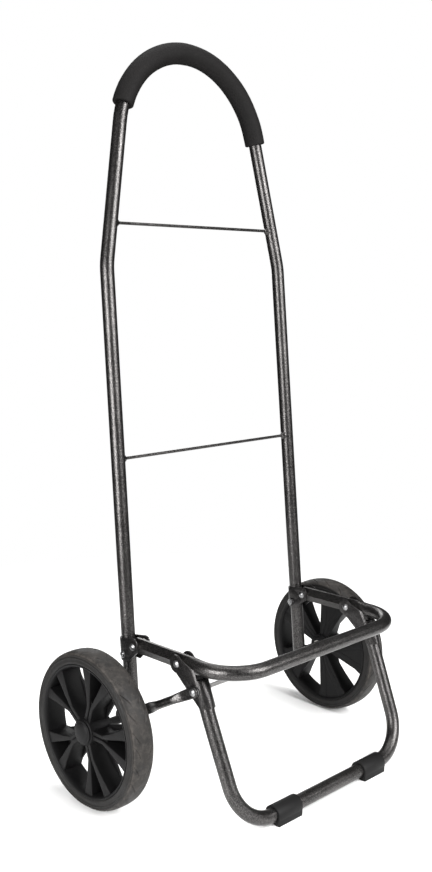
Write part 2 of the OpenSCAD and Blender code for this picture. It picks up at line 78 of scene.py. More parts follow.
def setLamps():
    for name, (place, target, width, height, watts) in lamps.items():
        data = bpy.data.lights.new(name, "AREA")
        data.shape = "RECTANGLE"
        data.size, data.size_y = width, height
        data.energy = watts
        lamp = bpy.data.objects.new(name, data)
        bpy.context.scene.collection.objects.link(lamp)
        lamp.location = place
        away = Vector(place) - Vector(target)
        lamp.rotation_mode = "QUATERNION"
        lamp.rotation_quaternion = away.to_track_quat("Z", "Y")


setCamera()
setLamps()
bpy.context.scene.view_settings.view_transform = "Standard"
print("camera and lamps set")


# small helpers for materials: a Wire is a socket that can stand in a sum

class Wire:
    def __init__(self, board, socket):
        self.board = board
        self.socket = socket

    def maths(self, operation, *values):
        return self.board.node("ShaderNodeMath", {"operation": operation}, dict(enumerate(values)))

    def __add__(self, other):
        return self.maths("ADD", self, other)

    __radd__ = __add__

    def __rsub__(self, other):
        return self.maths("SUBTRACT", other, self)

    def __mul__(self, other):
        return self.maths("MULTIPLY", self, other)

    __rmul__ = __mul__

    def __truediv__(self, other):
        return self.maths("DIVIDE", self, other)


class Finish:
    def __init__(self, name):
        self.material = bpy.data.materials.new(name)
        self.material.use_nodes = True
        self.tree = self.material.node_tree
        self.tree.nodes.clear()
        self.coords = self.node("ShaderNodeTexCoord", {}, {}, "Object")

    def node(self, kind, settings, sockets, out=0):
        made = self.tree.nodes.new(kind)
        for key, value in settings.items():
            if key == "stops":
                ramp = made.color_ramp
                while len(ramp.elements) < len(value):
                    ramp.elements.new(0.5)
                for element, (place, tone) in zip(ramp.elements, value):
                    element.position = place
                    element.color = (tone, tone, tone, 1)
            else:
                setattr(made, key, value)
        for key, value in sockets.items():
            if isinstance(value, Wire):
                self.tree.links.new(value.socket, made.inputs[key])
            else:
                made.inputs[key].default_value = value
        return Wire(self, made.outputs[out])

    def noise(self, scale, detail=3.0, roughness=0.5, where=None):
        places = {"Vector": where or self.coords, "Scale": scale, "Detail": detail, "Roughness": roughness}
        return self.node("ShaderNodeTexNoise", {}, places)

    def stretched(self, scale):
        return self.node("ShaderNodeMapping", {}, {"Vector": self.coords, "Scale": scale})

    def ramp(self, value, *stops):
        return self.node("ShaderNodeValToRGB", {"stops": stops}, {"Fac": value})

    def blend(self, share, first, second):
        tones = {"Factor": share, 6: (*first, 1) if isinstance(first, tuple) else first,
                 7: (*second, 1) if isinstance(second, tuple) else second}
        return self.node("ShaderNodeMix", {"data_type": "RGBA"}, tones, 2)

    def bump(self, height, strength, distance, below=None):
        sockets = {"Height": height, "Strength": strength, "Distance": distance}
        if below:
            sockets["Normal"] = below
        return self.node("ShaderNodeBump", {}, sockets)

    def done(self, sockets):
        shader = self.node("ShaderNodeBsdfPrincipled", {}, sockets)
        output = self.tree.nodes.new("ShaderNodeOutputMaterial")
        self.tree.links.new(shader.socket, output.inputs["Surface"])
        return self.material


# finishes

hammerCoat = {"dark": (0.009, 0.0085, 0.0086), "light": (0.145, 0.139, 0.136), "cell": 620, "metal": 0.93,
              "rough": 0.24}


def makeHammerCoat(name, settings):
    board = Finish(name)
    cells = board.node("ShaderNodeTexVoronoi", {"feature": "SMOOTH_F1"},
                       {"Vector": board.coords, "Scale": settings["cell"], "Smoothness": 0.7})
    fleck = board.ramp(board.noise(760, 3, 0.7), (0.44, 0.0), (0.64, 1.0))
    cloud = board.ramp(board.noise(26, 4), (0.35, 0.0), (0.7, 1.0))
    smear = board.noise(9, 5, 0.65, board.stretched((6, 6, 1)))
    share = fleck * 0.6 + cloud * 0.16 + cells * 0.2
    tone = board.blend(share, settings["dark"], settings["light"])
    rough = settings["rough"] + 0.14 * smear + 0.12 * (1 - cells) * fleck
    dimples = board.bump(cells, 0.35, 0.0005)
    grain = board.bump(board.noise(2600, 2), 0.12, 0.0002, dimples)
    return board.done({"Base Color": tone, "Metallic": settings["metal"], "Roughness": rough,
                       "Coat Weight": 0.05, "Coat Roughness": 0.25, "Normal": grain})


foamLook = {"dark": (0.002, 0.0018, 0.0018), "light": (0.0115, 0.0106, 0.0104), "pore": 1250}


def makeFoam(name, settings):
    board = Finish(name)
    pores = board.node("ShaderNodeTexVoronoi", {}, {"Vector": board.coords, "Scale": settings["pore"]})
    patch = board.noise(38, 4)
    crease = board.noise(120, 3, 0.6)
    dust = board.ramp(board.noise(420, 4, 0.7), (0.5, 0.0), (0.75, 1.0))
    share = patch * 0.5 + dust * 0.35 + pores * 0.2
    tone = board.blend(share, settings["dark"], settings["light"])
    soft = board.bump(crease, 0.25, 0.0012)
    skin = board.bump(pores, 0.5, 0.0004, soft)
    return board.done({"Base Color": tone, "Roughness": 0.6 + 0.2 * patch, "Normal": skin,
                       "Specular IOR Level": 0.13})


rubberLook = {"dark": (0.0045, 0.0043, 0.0042), "light": (0.04, 0.0355, 0.032), "axle": (0, 0.05225, 0.1)}


def makeRubber(name, settings):
    board = Finish(name)
    mottle = board.ramp(board.noise(34, 5, 0.62), (0.36, 0.0), (0.66, 1.0))
    grime = board.ramp(board.noise(120, 5, 0.7), (0.46, 0.0), (0.64, 1.0))
    fine = board.noise(900, 3)
    fromAxle = board.node("ShaderNodeVectorMath", {"operation": "SUBTRACT"},
                          {0: board.coords, 1: settings["axle"]})
    inPlane = board.node("ShaderNodeVectorMath", {"operation": "MULTIPLY"}, {0: fromAxle, 1: (0, 1, 1)})
    reach = board.node("ShaderNodeVectorMath", {"operation": "LENGTH"}, {0: inPlane}, "Value")
    rolled = board.ramp(reach * 10, (0.93, 0.18), (0.985, 1.0))  # painted shade: the sidewalls get a darker tone than the tread, where less light falls
    # painted highlight: a lighter, mottled ring along the shoulder of the tyre
    shoulderHighlight = board.ramp(reach * 10, (0.957, 0.0), (0.965, 1.0), (0.973, 1.0), (0.982, 0.0))
    # the dust marks are painted darker on the sidewalls (painted shade), and the shoulder ring adds a painted
    # highlight
    share = (mottle * 0.45 + grime * 0.4 + 0.08) * rolled + shoulderHighlight * (0.25 + 0.5 * grime)
    tone = board.blend(share, settings["dark"], settings["light"])
    scuffs = board.bump(grime, 0.18, 0.0006)
    skin = board.bump(fine, 0.22, 0.0003, scuffs)
    return board.done({"Base Color": tone, "Roughness": 0.5 + 0.25 * mottle, "Normal": skin,
                       "Specular IOR Level": 0.25})


rimLook = {"dark": (0.003, 0.003, 0.0032), "light": (0.009, 0.0086, 0.0087), "rough": 0.44}
mouldLook = {"dark": (0.005, 0.005, 0.0052), "light": (0.011, 0.0106, 0.0106), "rough": 0.48}


def makeMoulded(name, settings):
    board = Finish(name)
    cloud = board.noise(45, 4, 0.6)
    spark = board.noise(1400, 2)
    dust = board.ramp(board.noise(260, 5, 0.7), (0.52, 0.0), (0.78, 1.0))
    tone = board.blend(cloud * 0.55 + dust * 0.4, settings["dark"], settings["light"])
    texture = board.bump(spark, 0.16, 0.00025)
    return board.done({"Base Color": tone, "Roughness": settings["rough"] + 0.18 * cloud + 0.1 * dust,
                       "Normal": texture, "Specular IOR Level": 0.13})


zincLook = {"dark": (0.14, 0.14, 0.142), "light": (0.42, 0.42, 0.425), "rough": 0.26}
axleLook = {"dark": (0.16, 0.155, 0.15), "light": (0.34, 0.335, 0.33), "rough": 0.34}


def makeMetal(name, settings):
    board = Finish(name)
    spangle = board.node("ShaderNodeTexVoronoi", {}, {"Vector": board.coords, "Scale": 420}, "Color")
    grey = board.node("ShaderNodeRGBToBW", {}, {"Color": spangle})
    haze = board.noise(70, 4)
    scratch = board.noise(500, 2, 0.5, board.stretched((0.06, 1, 1)))
    tone = board.blend(grey * 0.45 + haze * 0.5, settings["dark"], settings["light"])
    marks = board.bump(scratch, 0.08, 0.0003)
    return board.done({"Base Color": tone, "Metallic": 1.0, "Roughness": settings["rough"] + 0.22 * haze,
                       "Normal": marks})


def makeNylon(name):
    board = Finish(name)
    cloud = board.noise(60, 3)
    tone = board.blend(cloud, (0.55, 0.54, 0.5), (0.72, 0.71, 0.68))
    return board.done({"Base Color": tone, "Roughness": 0.4 + 0.15 * cloud,
                       "Normal": board.bump(board.noise(700, 2), 0.1, 0.0003)})


finishes = {
    "frame_coat": makeHammerCoat("frameCoat", hammerCoat),
    "bracket_coat": makeHammerCoat("bracketCoat",
                                   {**hammerCoat, "light": (0.085, 0.081, 0.08), "metal": 0.88}),
    "foam": makeFoam("gripFoam", foamLook),
    "zinc": makeMetal("zincPlate", zincLook),
    "axle_steel": makeMetal("axleSteel", axleLook),
    "black_plastic": makeMoulded("blackPlastic", mouldLook),
    "rim_plastic": makeMoulded("rimPlastic", rimLook),
    "tyre_rubber": makeRubber("tyreRubber", rubberLook),
    "nylon": makeNylon("nylon"),
}
print("finishes ready:", len(finishes))


def makeFloor():
    board = Finish("paleFloor")
    grain = board.noise(14, 4)
    far = board.node("ShaderNodeVectorMath", {"operation": "LENGTH"}, {0: board.coords}, "Value")
    fade = board.ramp(far / room["floorSize"], (0.4, 1.0), (0.9, 0.0))
    tone = board.blend(grain, room["floorTone"], (0.95, 0.95, 0.945))
    shader = board.done({"Base Color": tone, "Roughness": 0.85, "Alpha": fade, "Specular IOR Level": 0.1,
                         "Normal": board.bump(grain, 0.02, 0.001)})
    bm = bmesh.new()
    bmesh.ops.create_circle(bm, segments=96, radius=room["floorSize"], cap_ends=True)
    mesh = bpy.data.meshes.new("floorSheet")
    bm.to_mesh(mesh)
    bm.free()
    mesh.materials.append(shader)
    floor = bpy.data.objects.new("floorSheet", mesh)
    bpy.context.scene.collection.objects.link(floor)


def makeRoom():
    world = bpy.data.worlds.new("softRoom")
    world.use_nodes = True
    tree = world.node_tree
    tree.nodes.clear()
    ray = tree.nodes.new("ShaderNodeLightPath")
    out = tree.nodes.new("ShaderNodeOutputWorld")
    before = None
    # soft fill for matt surfaces, a dark room in the gloss, a white backdrop behind
    for name, test in (("fill", None), ("gloss", "Is Glossy Ray"), ("backdrop", "Is Camera Ray")):
        glow = tree.nodes.new("ShaderNodeBackground")
        glow.inputs["Color"].default_value = (1, 1, 1, 1)
        glow.inputs["Strength"].default_value = room[name]
        if before:
            choice = tree.nodes.new("ShaderNodeMixShader")
            tree.links.new(ray.outputs[test], choice.inputs["Fac"])
            tree.links.new(before.outputs[0], choice.inputs[1])
            tree.links.new(glow.outputs[0], choice.inputs[2])
            glow = choice
        before = glow
    tree.links.new(before.outputs[0], out.inputs["Surface"])
    bpy.context.scene.world = world


makeFloor()
makeRoom()
print("floor and room ready")


# numbers that several pieces share, in millimetres

trolley = {
    "back": 52.25,  # the axle lies this far behind the middle
    "wheelRadius": 100.0,
    "lean": 4.33,
    "footHalf": 162.5,
    "kinkHalf": 158.3,
    "kinkRise": 577.0,
    "taper": 11.1,
    "archRadius": 125.0,
    "kinkRadius": 90.0,
    "tube": 9.0,
    "wall": 1.2,
    "tail": 14.0,
    "platformHeight": 195.0,
    "platformReach": 184.8,
    "loopBend": 54.0,
    "hingeReach": 13.0,
    "legTop": 9.5,
    "rivetReach": 129.5,
    "rivetHeight": 169.0,
    "legReach": 192.4,
    "soleHeight": 11.6,
    "legTaper": 2.0,
}
flare = math.degrees(math.atan2(trolley["footHalf"] - trolley["kinkHalf"], trolley["kinkRise"]))
sideX = trolley["footHalf"] - (trolley["platformHeight"] - trolley["wheelRadius"]) \
    / math.cos(math.radians(trolley["lean"])) * math.tan(math.radians(flare))


def sine(degrees):
    return math.sin(math.radians(degrees))


def cosine(degrees):
    return math.cos(math.radians(degrees))


def atPoint(x, y, z):  # y is measured from the axle
    return Vector((x, y + trolley["back"], z)) * mm


leanUp = Vector((0, sine(trolley["lean"]), cosine(trolley["lean"])))
leanFacing = Vector((0, -cosine(trolley["lean"]), sine(trolley["lean"])))


def onUprights(x, rise):
    return atPoint(0, 0, trolley["wheelRadius"]) + (Vector((x, 0, 0)) + leanUp * rise) * mm


# making and closing meshes

def placePiece(name, bm, slotName, body, stands=(), sharp=35, recalculate=True):
    if recalculate:
        bmesh.ops.remove_doubles(bm, verts=bm.verts, dist=2e-6)
        bmesh.ops.recalc_face_normals(bm, faces=bm.faces)
    mesh = bpy.data.meshes.new(name)
    bm.to_mesh(mesh)
    bm.free()
    mesh.polygons.foreach_set("use_smooth", [True] * len(mesh.polygons))
    mesh.set_sharp_from_angle(angle=math.radians(sharp))
    mesh.materials.append(finishes[slotName])
    piece = bpy.data.objects.new(name, mesh)
    bpy.context.scene.collection.objects.link(piece)
    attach(piece, body)
    if stands:
        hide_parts(*stands)
    return piece


def startRing(bm, centre, facing, radius, sides):
    turned = Vector(facing).to_track_quat("Z", "X").to_matrix().to_4x4()
    made = bmesh.ops.create_circle(bm, segments=sides, radius=radius,
                                   matrix=Matrix.Translation(centre) @ turned)
    ring = set(made["verts"])
    return [edge for edge in bm.edges if edge.verts[0] in ring]


def ringVerts(edges):
    return list({vert for edge in edges for vert in edge.verts})


def pushRing(bm, edges, shift):
    made = bmesh.ops.extrude_edge_only(bm, edges=edges)["geom"]
    verts = [part for part in made if isinstance(part, bmesh.types.BMVert)]
    bmesh.ops.translate(bm, vec=shift, verts=verts)
    return [part for part in made if isinstance(part, bmesh.types.BMEdge)
            and part.verts[0] in verts and part.verts[1] in verts]


def sizeRing(bm, edges, share):
    verts = ringVerts(edges)
    middle = sum((vert.co for vert in verts), Vector()) / len(verts)
    bmesh.ops.scale(bm, vec=(share, share, share), space=Matrix.Translation(-middle), verts=verts)


def bendTube(bm, edges, at, heading, facing, steps):
    # a step is ("run", length) or ("turn", radius, degrees), turning about facing
    for step in steps:
        if step[0] == "run":
            edges = pushRing(bm, edges, heading * step[1] * mm)
            at = at + heading * step[1] * mm
        else:
            radius, degrees = step[1], step[2]
            side = facing.cross(heading) * math.copysign(1, degrees)
            centre = at + side * radius * mm
            pieces = max(3, round(abs(degrees) / 3.5))
            made = bmesh.ops.spin(bm, geom=ringVerts(edges) + edges, cent=centre, axis=facing,
                                  angle=math.radians(degrees), steps=pieces, use_merge=False)
            edges = [part for part in made["geom_last"] if isinstance(part, bmesh.types.BMEdge)]
            turning = Matrix.Rotation(math.radians(degrees), 3, facing)
            at = centre + turning @ (at - centre)
            heading = turning @ heading
    return edges, at, heading


def endWall(bm, edges, heading, outer, depth):
    # folds the open end of a tube in over its wall
    lip = pushRing(bm, edges, heading * 0.25 * mm)
    sizeRing(bm, lip, (outer - 0.25) / outer)
    inner = pushRing(bm, lip, Vector())
    sizeRing(bm, inner, (outer - trolley["wall"]) / (outer - 0.25))
    pushRing(bm, inner, heading * -depth * mm)


# uprights and handle arch, one bent tube

uprightTube = {"sides": 48, "wallDepth": 12}


def makeMainTube():
    turn = trolley["taper"] - flare
    tangent = trolley["kinkRadius"] * math.tan(math.radians(turn / 2))
    low = Vector((trolley["footHalf"] + trolley["tail"] * math.tan(math.radians(flare)), -trolley["tail"]))
    kink = Vector((trolley["kinkHalf"], trolley["kinkRise"]))
    inwards = trolley["kinkHalf"] - trolley["archRadius"] * cosine(trolley["taper"])
    archRise = trolley["kinkRise"] + inwards / math.tan(math.radians(trolley["taper"])) \
        - trolley["archRadius"] * sine(trolley["taper"])
    archEnd = Vector((trolley["archRadius"] * cosine(trolley["taper"]),
                      archRise + trolley["archRadius"] * sine(trolley["taper"])))
    legRun = (kink - low).length - tangent
    upperRun = (archEnd - kink).length - tangent
    bm = bmesh.new()
    heading = Vector((-sine(flare), 0, 0)) + leanUp * cosine(flare)
    start = onUprights(low.x, low.y)
    edges = startRing(bm, start, heading, trolley["tube"] * mm, uprightTube["sides"])
    first = list(edges)
    steps = [("run", legRun), ("turn", trolley["kinkRadius"], turn), ("run", upperRun),
             ("turn", trolley["archRadius"], 180 - 2 * trolley["taper"]), ("run", upperRun),
             ("turn", trolley["kinkRadius"], turn), ("run", legRun)]
    edges, at, ahead = bendTube(bm, edges, start, heading, leanFacing, steps)
    endWall(bm, first, -heading, trolley["tube"], uprightTube["wallDepth"])
    endWall(bm, edges, ahead, trolley["tube"], uprightTube["wallDepth"])
    placePiece("uprightTube", bm, "frame_coat", "frame", ["main_tube"])
    return archRise, archEnd


archRise, archEnd = makeMainTube()


foamSleeve = {"radius": 14.0, "hole": 9.05, "round": 2.2, "tail": 8.0, "lastAngle": 157.5, "sides": 64,
              "wave": 0.32, "waveSize": 26.0}


def makeFoamSleeve():
    bm = bmesh.new()
    heading = Vector((-sine(trolley["taper"]), 0, 0)) + leanUp * cosine(trolley["taper"])
    start = onUprights(archEnd.x, archEnd.y) - heading * foamSleeve["tail"] * mm
    outer, small = foamSleeve["radius"], foamSleeve["round"]
    inner = startRing(bm, start + heading * 1.5 * mm, heading, foamSleeve["hole"] * mm, foamSleeve["sides"])
    edges = pushRing(bm, inner, heading * -1.1 * mm)
    edges = pushRing(bm, edges, heading * -0.4 * mm)
    sizeRing(bm, edges, (foamSleeve["hole"] + 0.6) / foamSleeve["hole"])
    reached = foamSleeve["hole"] + 0.6
    for part in range(6):  # the rounded end
        angle = part * 90 / 5
        wanted = outer - small + small * sine(angle)
        along = small * (1 - cosine(angle)) - (small * (1 - cosine(angle - 18)) if part else 0)
        edges = pushRing(bm, edges, heading * along * mm)
        sizeRing(bm, edges, wanted / reached)
        reached = wanted
    at = start + heading * small * mm
    steps = [("run", (foamSleeve["tail"] - small) / 3)] * 3
    steps.append(("turn", trolley["archRadius"], foamSleeve["lastAngle"] - trolley["taper"]))
    edges, at, ahead = bendTube(bm, edges, at, heading, leanFacing, steps)
    for part in range(1, 6):
        angle = part * 90 / 5
        wanted = outer - small + small * cosine(angle)
        along = small * (sine(angle) - sine(angle - 18))
        edges = pushRing(bm, edges, ahead * along * mm)
        sizeRing(bm, edges, wanted / reached)
        reached = wanted
    edges = pushRing(bm, edges, Vector())
    sizeRing(bm, edges, (foamSleeve["hole"] + 0.6) / reached)
    edges = pushRing(bm, edges, ahead * -0.4 * mm)
    sizeRing(bm, edges, foamSleeve["hole"] / (foamSleeve["hole"] + 0.6))
    pushRing(bm, edges, ahead * -1.1 * mm)
    middle = onUprights(0, archRise)
    for vert in bm.verts:  # foam is never quite even
        spoke = vert.co - middle
        spoke -= leanFacing * spoke.dot(leanFacing)
        centre = middle + spoke.normalized() * trolley["archRadius"] * mm
        if vert.co.z < onUprights(archEnd.x, archEnd.y).z and vert.co.x > 0:
            centre = start + heading * (vert.co - start).dot(heading)
        out = vert.co - centre
        share = max(0.0, (out.length / mm - 10.5) / 3.5)
        wave = noise.noise(vert.co / (foamSleeve["waveSize"] * mm)) + 0.5 * noise.noise(vert.co / (9 * mm))
        vert.co += out.normalized() * wave * foamSleeve["wave"] * share * mm
    sleeve = placePiece("foamSleeve", bm, "foam", "frame", ["foam_grip"], sharp=50)


makeFoamSleeve()
print("uprights and grip made")


upperRise, lowerRise = 630.0, 331.0  # heights up the lean, from the axle
upperHalf = trolley["kinkHalf"] - (upperRise - trolley["kinkRise"]) * math.tan(math.radians(trolley["taper"]))
lowerHalf = trolley["footHalf"] - lowerRise * math.tan(math.radians(flare))

crossRods = {
    # name: (height, half length, CAD node)
    "upperCrossRod": (upperRise, upperHalf, "upper_cross_rod"),
    "lowerCrossRod": (lowerRise, lowerHalf, "lower_cross_rod"),
}
rodShape = {
    "sides": 28,
    "runs": 10,
    "sunk": 2.5,  # each end reaches this far into the upright
    "weldRadius": 4.6,
    "weldFoot": 1.25,
    # (step along the rod, share of the weld's radius), from the upright inwards
    "weld": [(2.2, 1.2), (1.3, 1.0), (1.2, 0.78), (1.0, 0.58), (0.8, 0.47), (0.9, 0.435)],
    "lump": 0.12,
    "lumpSize": 1.6,
}


def makeCrossRods():
    across = Vector((1, 0, 0))
    foot = rodShape["weldRadius"] * rodShape["weldFoot"]
    shape = [(step, share * rodShape["weldRadius"]) for step, share in rodShape["weld"]]
    used = sum(step for step, radius in shape)
    for name, (rise, half, standsFor) in crossRods.items():
        bm = bmesh.new()
        inside = half - trolley["tube"] + rodShape["sunk"]
        edges = startRing(bm, onUprights(-inside, rise), across, foot * mm, rodShape["sides"])
        bmesh.ops.holes_fill(bm, edges=edges)
        reached = foot
        for step, wanted in shape:
            edges = pushRing(bm, edges, across * step * mm)
            sizeRing(bm, edges, wanted / reached)
            reached = wanted
        for part in range(rodShape["runs"]):
            edges = pushRing(bm, edges, across * (2 * inside - 2 * used) / rodShape["runs"] * mm)
        outwards = shape[::-1]
        for (step, radius), following in zip(outwards, [radius for step, radius in outwards[1:]] + [foot]):
            edges = pushRing(bm, edges, across * step * mm)
            sizeRing(bm, edges, following / reached)
            reached = following
        bmesh.ops.holes_fill(bm, edges=edges)
        for vert in bm.verts:  # the weld beads are a little lumpy
            near = abs(abs(vert.co.x) / mm - inside)
            if near < used:
                out = vert.co - onUprights(vert.co.x / mm, rise)
                lump = noise.noise(vert.co / (rodShape["lumpSize"] * mm) + Vector((3, 5, 7)))
                vert.co += out * rodShape["lump"] * lump * (1 - near / used)
        placePiece(name, bm, "frame_coat", "frame", [standsFor], sharp=60)


makeCrossRods()
print("cross rods made")


# platform loop: round across the front, pressed flat along both sides

platformBar = {"height": 10.0, "width": 7.2, "sides": 48, "blend": 22.0, "wallDepth": 8.0, "nose": 10.4}


def pressRing(edges, centreX, share, tall=1.0):
    # share 0 leaves the ring round and 1 presses it flat
    straight = platformBar["height"] - platformBar["width"]
    for vert in ringVerts(edges):
        across = vert.co.x / mm - centreX
        up = vert.co.z / mm - trolley["platformHeight"]
        angle = math.atan2(up, across)
        roundX, roundZ = trolley["tube"] * math.cos(angle), trolley["tube"] * math.sin(angle)
        flatX = platformBar["width"] * math.cos(angle)
        flatZ = platformBar["width"] * math.sin(angle)
        if abs(flatZ) > 1e-4:
            flatZ += math.copysign(straight, flatZ)
        vert.co.x = (centreX + roundX + (flatX - roundX) * share) * mm
        vert.co.z = (trolley["platformHeight"] + (roundZ + (flatZ - roundZ) * share) * tall) * mm


def makePlatformLoop():
    bm = bmesh.new()
    barEnd = trolley["platformReach"] - trolley["loopBend"]
    start = atPoint(sideX, -barEnd, trolley["platformHeight"])
    heading = Vector((0, -1, 0))
    edges = startRing(bm, start, heading, trolley["tube"] * mm, platformBar["sides"])
    first = list(edges)
    steps = [("turn", trolley["loopBend"], -90), ("run", 2 * (sideX - trolley["loopBend"])),
             ("turn", trolley["loopBend"], -90)]
    edges, at, ahead = bendTube(bm, edges, start, heading, Vector((0, 0, 1)), steps)
    for ring, centreX in ((first, sideX), (edges, -sideX)):
        back = Vector((0, 1, 0))
        pieces = 12
        for part in range(1, pieces + 1):
            share = part / pieces
            ring = pushRing(bm, ring, back * platformBar["blend"] / pieces * mm)
            pressRing(ring, centreX, share * share * (3 - 2 * share))
        ring = pushRing(bm, ring, back * (barEnd - platformBar["blend"] - trolley["hingeReach"]) * mm)
        gone = 0
        for angle in (18, 36, 50):
            ring = pushRing(bm, ring, back * (platformBar["nose"] * sine(angle) - gone) * mm)
            gone = platformBar["nose"] * sine(angle)
            pressRing(ring, centreX, 1.0, cosine(angle))
        inner = pushRing(bm, ring, Vector())
        sizeRing(bm, inner, 0.82)
        pushRing(bm, inner, back * -platformBar["wallDepth"] * mm)
    placePiece("platformLoop", bm, "frame_coat", "platform", ["platform_loop"])


makePlatformLoop()


# leg loop

legTube = {"sides": 48, "kinkHeight": -33.0, "kinkRadius": 300.0}
legTilt = math.degrees(math.atan2(trolley["legReach"] - trolley["rivetReach"],
                                  trolley["rivetHeight"] - trolley["soleHeight"]))
legLength = math.hypot(trolley["legReach"] - trolley["rivetReach"],
                       trolley["rivetHeight"] - trolley["soleHeight"])
legUp = Vector((0, sine(legTilt), cosine(legTilt)))
legFacing = Vector((0, -cosine(legTilt), sine(legTilt)))


def makeLegLoop():
    bm = bmesh.new()
    start = atPoint(sideX, -trolley["rivetReach"], trolley["rivetHeight"]) + legUp * trolley["legTop"] * mm
    edges = startRing(bm, start, -legUp, trolley["tube"] * mm, legTube["sides"])
    first = list(edges)
    taper, bend = trolley["legTaper"], trolley["loopBend"]
    slack = legTube["kinkRadius"] * math.tan(math.radians(taper / 2))
    cornerHeight = bend - legLength
    lowHeight = cornerHeight - bend * sine(taper)
    upper = trolley["legTop"] - legTube["kinkHeight"] - slack
    lower = (legTube["kinkHeight"] - slack * cosine(taper) - lowHeight) / cosine(taper)
    inwards = (legTube["kinkHeight"] - lowHeight) * math.tan(math.radians(taper))
    cornerX = sideX - inwards - bend * cosine(taper)
    kink = ("turn", legTube["kinkRadius"], -taper)
    corner = ("turn", bend, taper - 90)
    steps = [("run", upper), kink, ("run", lower), corner, ("run", 2 * cornerX), corner, ("run", lower), kink,
             ("run", upper)]
    edges, at, ahead = bendTube(bm, edges, start, -legUp, legFacing, steps)
    endWall(bm, first, legUp, trolley["tube"], 8)
    endWall(bm, edges, ahead, trolley["tube"], 8)
    placePiece("legLoop", bm, "frame_coat", "leg", ["leg_loop"])


makeLegLoop()
print("platform and leg loops made")


# struts: a thin tube squeezed flat at both ends

strutShape = {"inner": 12.2, "tube": 5.4, "lowHalf": 8.0, "highHalf": 6.8, "slot": 3.6,
              "slotLength": 10.4, "slotAngle": 204.5, "flat": 56.0, "round": 84.0, "sides": 32}


def strutHalfWidths(along, length):
    low, high = strutShape["lowHalf"], strutShape["highHalf"]
    tipX = strutShape["slotLength"] * cosine(strutShape["slotAngle"])
    tipY = strutShape["slotLength"] * sine(strutShape["slotAngle"])
    top, bottom = -99.0, 99.0
    for part in range(41):
        share = part / 40
        reach = low * low - (along - tipX * share) ** 2
        if reach >= 0:
            top = max(top, tipY * share + math.sqrt(reach))
            bottom = min(bottom, tipY * share - math.sqrt(reach))
    if 0 <= along <= length:
        top, bottom = max(top, strutShape["tube"] + 1), min(bottom, -strutShape["tube"] - 1)
        if along <= strutShape["round"]:
            ease = min(1, max(0, (along - strutShape["flat"]) / (strutShape["round"] - strutShape["flat"])))
            wide = (low - 0.9) * (1 - ease) + (strutShape["tube"] + 1) * ease
            top, bottom = max(top, wide), min(bottom, -wide)
    if along > length - 20:
        width = high if along <= length else math.sqrt(max(0.01, high * high - (along - length) ** 2))
        top, bottom = width, -width
    return top, bottom


def makeStruts():
    rise = trolley["rivetHeight"] - trolley["wheelRadius"]
    length = math.hypot(trolley["rivetReach"], rise)
    slope = math.atan2(rise, -trolley["rivetReach"])
    ahead = Vector((0, math.cos(slope), math.sin(slope)))
    beside = Vector((0, -math.sin(slope), math.cos(slope)))
    flat, full = strutShape["flat"], strutShape["round"]
    stops = [-17.3, -16.8, -16, -14.5, -12.5, -10, -7, -4, -1, 2, 6, 10, 20, 30, 44, flat]
    stops += [flat + part * (full - flat) / 9 for part in range(1, 10)]
    stops += [full + part * (length - 38 - full) / 4 for part in range(1, 5)]
    stops += [length + step for step in (-35, -32, -29, -26, -23, -20, -12, -6, 0, 2.5, 4.5, 5.7, 6.4, 6.7)]
    for side, body, node in ((1, "right_strut_body", "right_strut"), (-1, "left_strut_body", "left_strut")):
        bm = bmesh.new()
        origin = atPoint(0, 0, trolley["wheelRadius"])
        innerX = sideX + strutShape["inner"]
        ring = startRing(bm, origin, ahead, 5 * mm, strutShape["sides"])
        turned = {}
        for vert in ringVerts(ring):
            out = vert.co - origin
            turned[vert] = math.atan2(out.x, out.dot(beside))
        for order, along in enumerate(stops):
            if order:
                before = ringVerts(ring)
                ring = pushRing(bm, ring, Vector())
                kept = {}
                for edge in ring:
                    for vert in edge.verts:
                        if vert not in kept:
                            close = min(before, key=lambda old: (old.co - vert.co).length)
                            kept[vert] = turned[close]
                turned = kept
            top, bottom = strutHalfWidths(along, length)
            roundShare = min(1, max(0, (along - flat) / (full - flat)))
            roundShare *= min(1, max(0, (length - 20 - along) / 18))
            roundShare = roundShare * roundShare * (3 - 2 * roundShare)
            thick = 1.5 + (strutShape["tube"] - 1.5) * roundShare
            middle = (top + bottom) / 2 * (1 - roundShare)
            half = (top - bottom) / 2
            straight = max(0.0, half - 1.5) * (1 - roundShare)
            thin = min(thick, half) if roundShare == 0 else thick
            for vert, angle in turned.items():
                wide = thin * math.cos(angle)
                if abs(wide) > 1e-3:
                    wide += math.copysign(straight, wide)
                deep = 1.5 + (4.05 * roundShare) + thick * math.sin(angle)
                spot = origin + (ahead * along + beside * (middle + wide)) * mm
                spot.x = side * (innerX + deep) * mm
                vert.co = spot
            if order == 0:
                bmesh.ops.holes_fill(bm, edges=ring)
        bmesh.ops.holes_fill(bm, edges=ring)
        piece = placePiece(node + "Arm", bm, "frame_coat", body, [node], sharp=50)
        cutSlot(piece, origin, ahead, beside, side * innerX)
        cutHole(piece, origin + ahead * length * mm, side * innerX, 3.05)


def cutAway(piece, tool):
    # takes the closed shape in tool out of the piece
    mesh = bpy.data.meshes.new("tool")
    bmesh.ops.recalc_face_normals(tool, faces=tool.faces)
    tool.to_mesh(mesh)
    tool.free()
    helper = bpy.data.objects.new("tool", mesh)
    bpy.context.scene.collection.objects.link(helper)
    change = piece.modifiers.new("cut", "BOOLEAN")
    change.operation = "DIFFERENCE"
    change.solver = "EXACT"
    change.object = helper
    bpy.context.view_layer.update()
    made = bpy.data.meshes.new_from_object(piece.evaluated_get(bpy.context.evaluated_depsgraph_get()))
    piece.modifiers.clear()
    piece.data = made
    bpy.data.objects.remove(helper)


